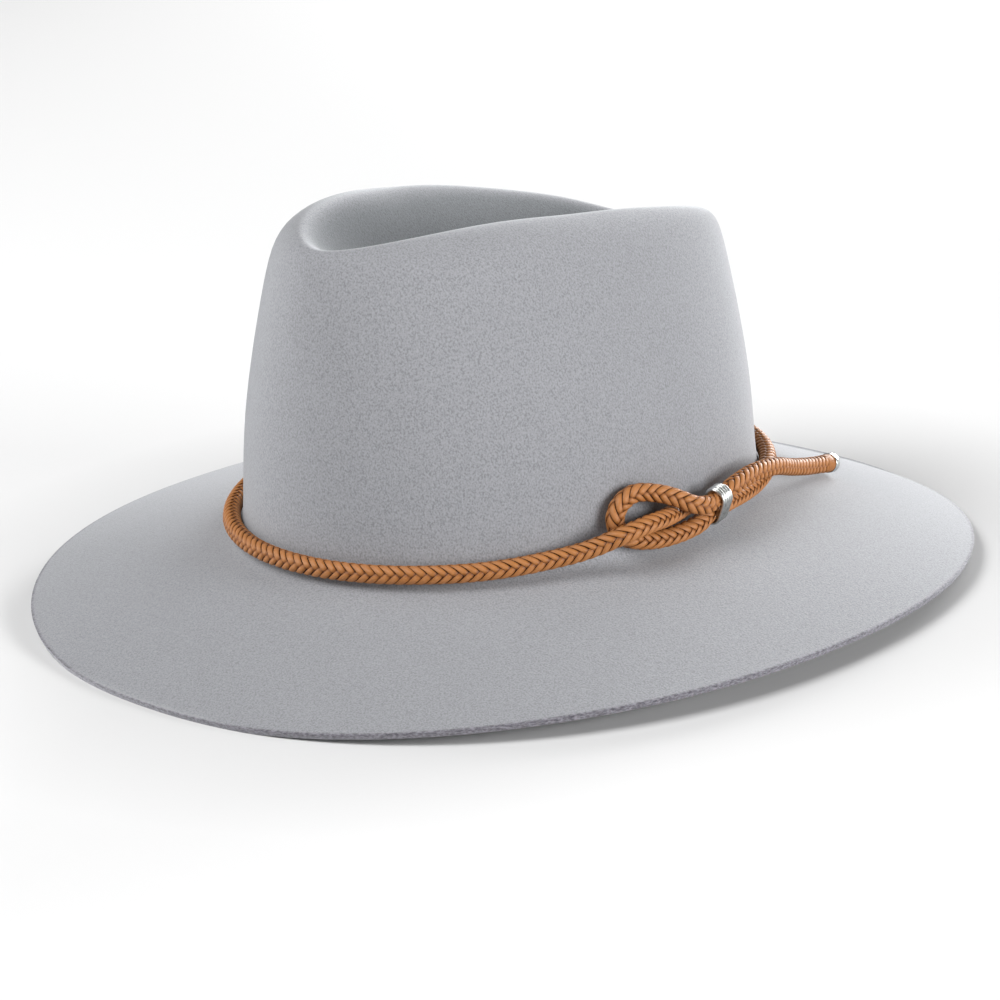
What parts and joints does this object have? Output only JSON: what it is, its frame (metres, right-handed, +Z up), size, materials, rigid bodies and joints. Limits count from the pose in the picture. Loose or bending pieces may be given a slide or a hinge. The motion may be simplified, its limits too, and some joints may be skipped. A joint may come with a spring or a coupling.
{
  "type": "flat brim fedora",
  "caption": "Felt fedora with a wide, gently sloping raw-edged brim, a creased crown and a braided leather cord looped through a wire wrap.",
  "frame": {"origin": "on the surface that the hat rests on, under the middle of the brim's outline", "axes": "+Z up through the crown, -Y towards the front of the hat, +X towards the wearer's left"},
  "size_m": [0.3244, 0.3556, 0.1449],
  "materials": {
    "felt": "matte fur felt with a short brushed nap",
    "leather": "tan plaited leather with a soft sheen",
    "wire": "silver-coloured wire",
    "cap": "polished silver colour"
  },
  "bodies": {
    "root": {"felt_body": "felt", "band_cord": "leather", "wire_wrap": "wire", "tip_cap": "cap"}
  },
  "joints": []
}
